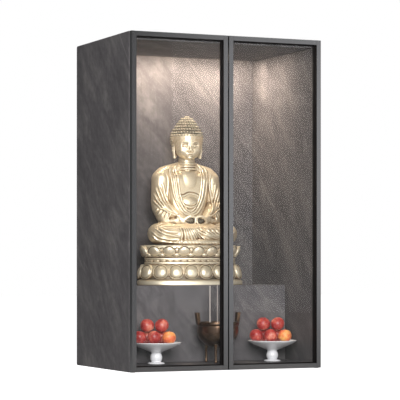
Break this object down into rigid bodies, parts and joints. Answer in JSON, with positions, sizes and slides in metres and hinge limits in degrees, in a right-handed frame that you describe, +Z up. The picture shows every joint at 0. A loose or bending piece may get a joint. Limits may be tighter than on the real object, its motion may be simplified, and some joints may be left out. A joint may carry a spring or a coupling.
{
  "type": "household altar cabinet",
  "caption": "Stone-look altar cabinet with two glass doors, a raised rear step with a seated figure on a lotus pedestal, and offering ware in front.",
  "frame": {"origin": "centre of the cabinet's footprint, on the surface it stands on", "axes": "+Z up, -Y towards the doors, +X to the right as seen from the front"},
  "size_m": [0.669, 0.504, 1.08],
  "materials": {
    "slate_laminate": "matt slate-look laminate",
    "frame_aluminium": "dark grey anodised",
    "gasket": "satin black",
    "door_glass": "clear",
    "hinge_steel": "blackened",
    "light_diffuser": "opal, lit warm",
    "pale_gold": "polished pale gold",
    "dark_bronze": "dark brown patina",
    "ash": "grey ash",
    "incense": "pale dry incense",
    "porcelain": "glazed white",
    "fruit_skin": "waxy red"
  },
  "bodies": {
    "cabinet": {"left_side_panel": "slate_laminate", "right_side_panel": "slate_laminate", "top_panel": "slate_laminate", "bottom_panel": "slate_laminate", "back_panel": "slate_laminate", "ceiling_board": "slate_laminate", "step_front": "slate_laminate", "step_top": "slate_laminate", "left_door_hinge_top": "hinge_steel", "left_door_hinge_bottom": "hinge_steel", "right_door_hinge_top": "hinge_steel", "right_door_hinge_bottom": "hinge_steel", "led_strip": "light_diffuser", "lotus_pedestal": "pale_gold", "seated_figure": "pale_gold", "burner": "dark_bronze", "burner_ash": "ash", "incense_stick_1": "incense", "incense_stick_2": "incense", "incense_stick_3": "incense", "left_dish": "porcelain", "right_dish": "porcelain", "left_fruit_1": "fruit_skin", "left_fruit_2": "fruit_skin", "left_fruit_3": "fruit_skin", "left_fruit_4": "fruit_skin", "left_fruit_5": "fruit_skin", "left_fruit_6": "fruit_skin", "left_fruit_7": "fruit_skin", "right_fruit_1": "fruit_skin", "right_fruit_2": "fruit_skin", "right_fruit_3": "fruit_skin", "right_fruit_4": "fruit_skin", "right_fruit_5": "fruit_skin", "right_fruit_6": "fruit_skin", "right_fruit_7": "fruit_skin"},
    "left_door": {"left_door_hinge_stile": "frame_aluminium", "left_door_meeting_stile": "frame_aluminium", "left_door_top_rail": "frame_aluminium", "left_door_bottom_rail": "frame_aluminium", "left_door_glass": "door_glass", "left_door_gasket": "gasket"},
    "right_door": {"right_door_hinge_stile": "frame_aluminium", "right_door_meeting_stile": "frame_aluminium", "right_door_top_rail": "frame_aluminium", "right_door_bottom_rail": "frame_aluminium", "right_door_glass": "door_glass", "right_door_gasket": "gasket"}
  },
  "joints": [
    {"name": "left_door_hinge", "type": "hinge", "parent": "cabinet", "child": "left_door", "pos_m": [-0.3285, -0.234, 0.54], "axis": [0, 0, -1], "range_deg": [0, 100]},
    {"name": "right_door_hinge", "type": "hinge", "parent": "cabinet", "child": "right_door", "pos_m": [0.3285, -0.234, 0.54], "axis": [0, 0, 1], "range_deg": [0, 100]}
  ]
}
